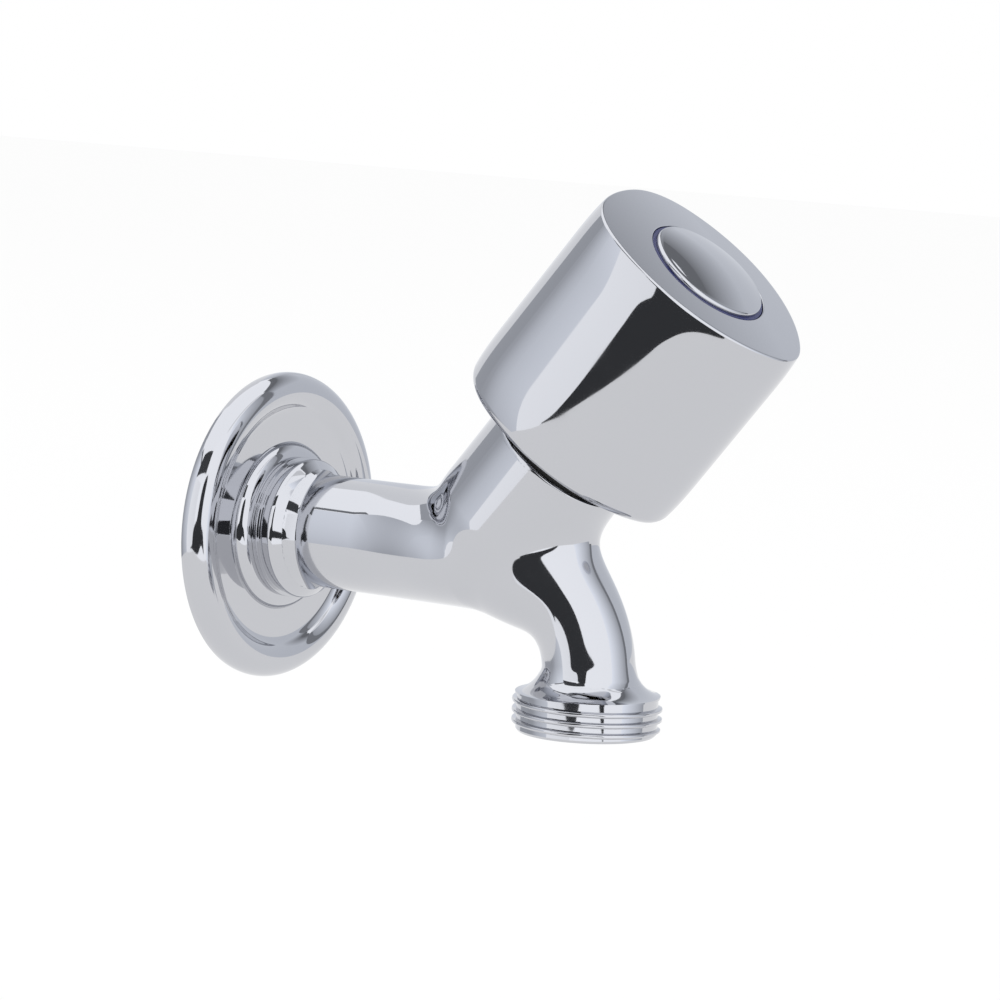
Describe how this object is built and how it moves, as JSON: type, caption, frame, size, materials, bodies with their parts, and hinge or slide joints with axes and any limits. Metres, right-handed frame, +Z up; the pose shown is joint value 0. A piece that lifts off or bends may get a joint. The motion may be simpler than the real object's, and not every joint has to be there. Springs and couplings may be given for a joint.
{
  "type": "washing machine tap",
  "caption": "Wall-mounted chromed tap for a washing machine: round wall flange, inclined headwork with a rounded three-lobed handle, curved spout and threaded hose outlet.",
  "frame": {"origin": "on the inlet axis at the wall face, the plane of the wall flange's back rim", "axes": "+Y into the wall along the inlet axis, so the tap stands out along -Y; +Z up; X across"},
  "size_m": [0.0556, 0.1184, 0.0955],
  "materials": {
    "chrome": "polished chrome plate",
    "handle_chrome": "polished chrome plate",
    "button_chrome": "polished chrome plate",
    "blue_plastic": "glossy blue",
    "brass": "turned",
    "rubber": "matt",
    "white_plastic": "matt",
    "steel": "plain"
  },
  "bodies": {
    "housing": {"tap_body": "chrome", "wall_flange": "chrome", "bonnet": "brass", "bonnet_gasket": "rubber", "thrust_washer": "white_plastic"},
    "rotor": {"handle": "handle_chrome", "handle_insert": "white_plastic", "screw_washer": "steel", "handle_screw": "steel", "index_ring": "blue_plastic", "index_button": "button_chrome", "spindle": "brass", "spindle_o_ring_lower": "rubber", "spindle_o_ring_upper": "rubber", "spindle_circlip": "steel"},
    "valve": {"valve_carrier": "brass", "carrier_o_ring": "rubber", "tap_washer": "rubber", "washer_plate": "brass", "washer_nut": "brass"}
  },
  "joints": [
    {"name": "handle_turn", "type": "hinge", "parent": "housing", "child": "rotor", "pos_m": [0, -0.04613, 0], "axis": [0, -0.6332, 0.774], "range_deg": [0, 810]},
    {"name": "valve_lift", "type": "slide", "parent": "housing", "child": "valve", "axis": [0, -0.6332, 0.774], "range_m": [0, 0.0045]}
  ],
  "couplings": [
    {"joint": "valve_lift", "follows": "handle_turn", "m_per_rad": 0.0003183}
  ]
}
